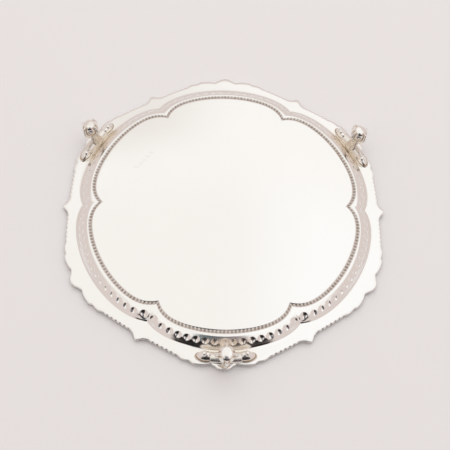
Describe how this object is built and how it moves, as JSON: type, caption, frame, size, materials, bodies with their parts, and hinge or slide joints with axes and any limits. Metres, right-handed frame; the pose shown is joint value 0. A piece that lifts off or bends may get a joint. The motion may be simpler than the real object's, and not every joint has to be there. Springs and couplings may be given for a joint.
{
  "type": "footed salver",
  "caption": "Round lobed silver salver with a shell and gadroon border, a beaded well and claw-and-ball feet, lying face down.",
  "frame": {"origin": "centre of the salver's outline, on the plane that the face of its border rests on while it lies face down", "axes": "+Z out of the underside, the way the feet point; -Y towards the first foot, to within a degree, and +X through the cusp between two lobes. The salver stands on its feet once it is turned over about X."},
  "size_m": [0.2448, 0.2563, 0.0262],
  "materials": {
    "silver_sheet": "polished silver sheet",
    "silver_border": "polished cast silver, darker in its recesses",
    "silver_feet": "polished cast silver, darker in its recesses"
  },
  "bodies": {
    "root": {"salver_plate": "silver_sheet", "rim_shell_1": "silver_border", "rim_shell_2": "silver_border", "rim_shell_3": "silver_border", "rim_shell_4": "silver_border", "rim_shell_5": "silver_border", "rim_shell_6": "silver_border", "corner_leaf_1": "silver_border", "corner_leaf_2": "silver_border", "corner_leaf_3": "silver_border", "corner_leaf_4": "silver_border", "corner_leaf_5": "silver_border", "corner_leaf_6": "silver_border", "gadroon_strip_1": "silver_border", "gadroon_strip_2": "silver_border", "gadroon_strip_3": "silver_border", "gadroon_strip_4": "silver_border", "gadroon_strip_5": "silver_border", "gadroon_strip_6": "silver_border", "gadroon_strip_7": "silver_border", "gadroon_strip_8": "silver_border", "gadroon_strip_9": "silver_border", "gadroon_strip_10": "silver_border", "gadroon_strip_11": "silver_border", "gadroon_strip_12": "silver_border", "foot_1": "silver_feet", "foot_2": "silver_feet", "foot_3": "silver_feet", "foot_1_scroll_left": "silver_feet", "foot_1_scroll_right": "silver_feet", "foot_2_scroll_left": "silver_feet", "foot_2_scroll_right": "silver_feet", "foot_3_scroll_left": "silver_feet", "foot_3_scroll_right": "silver_feet"}
  },
  "joints": []
}
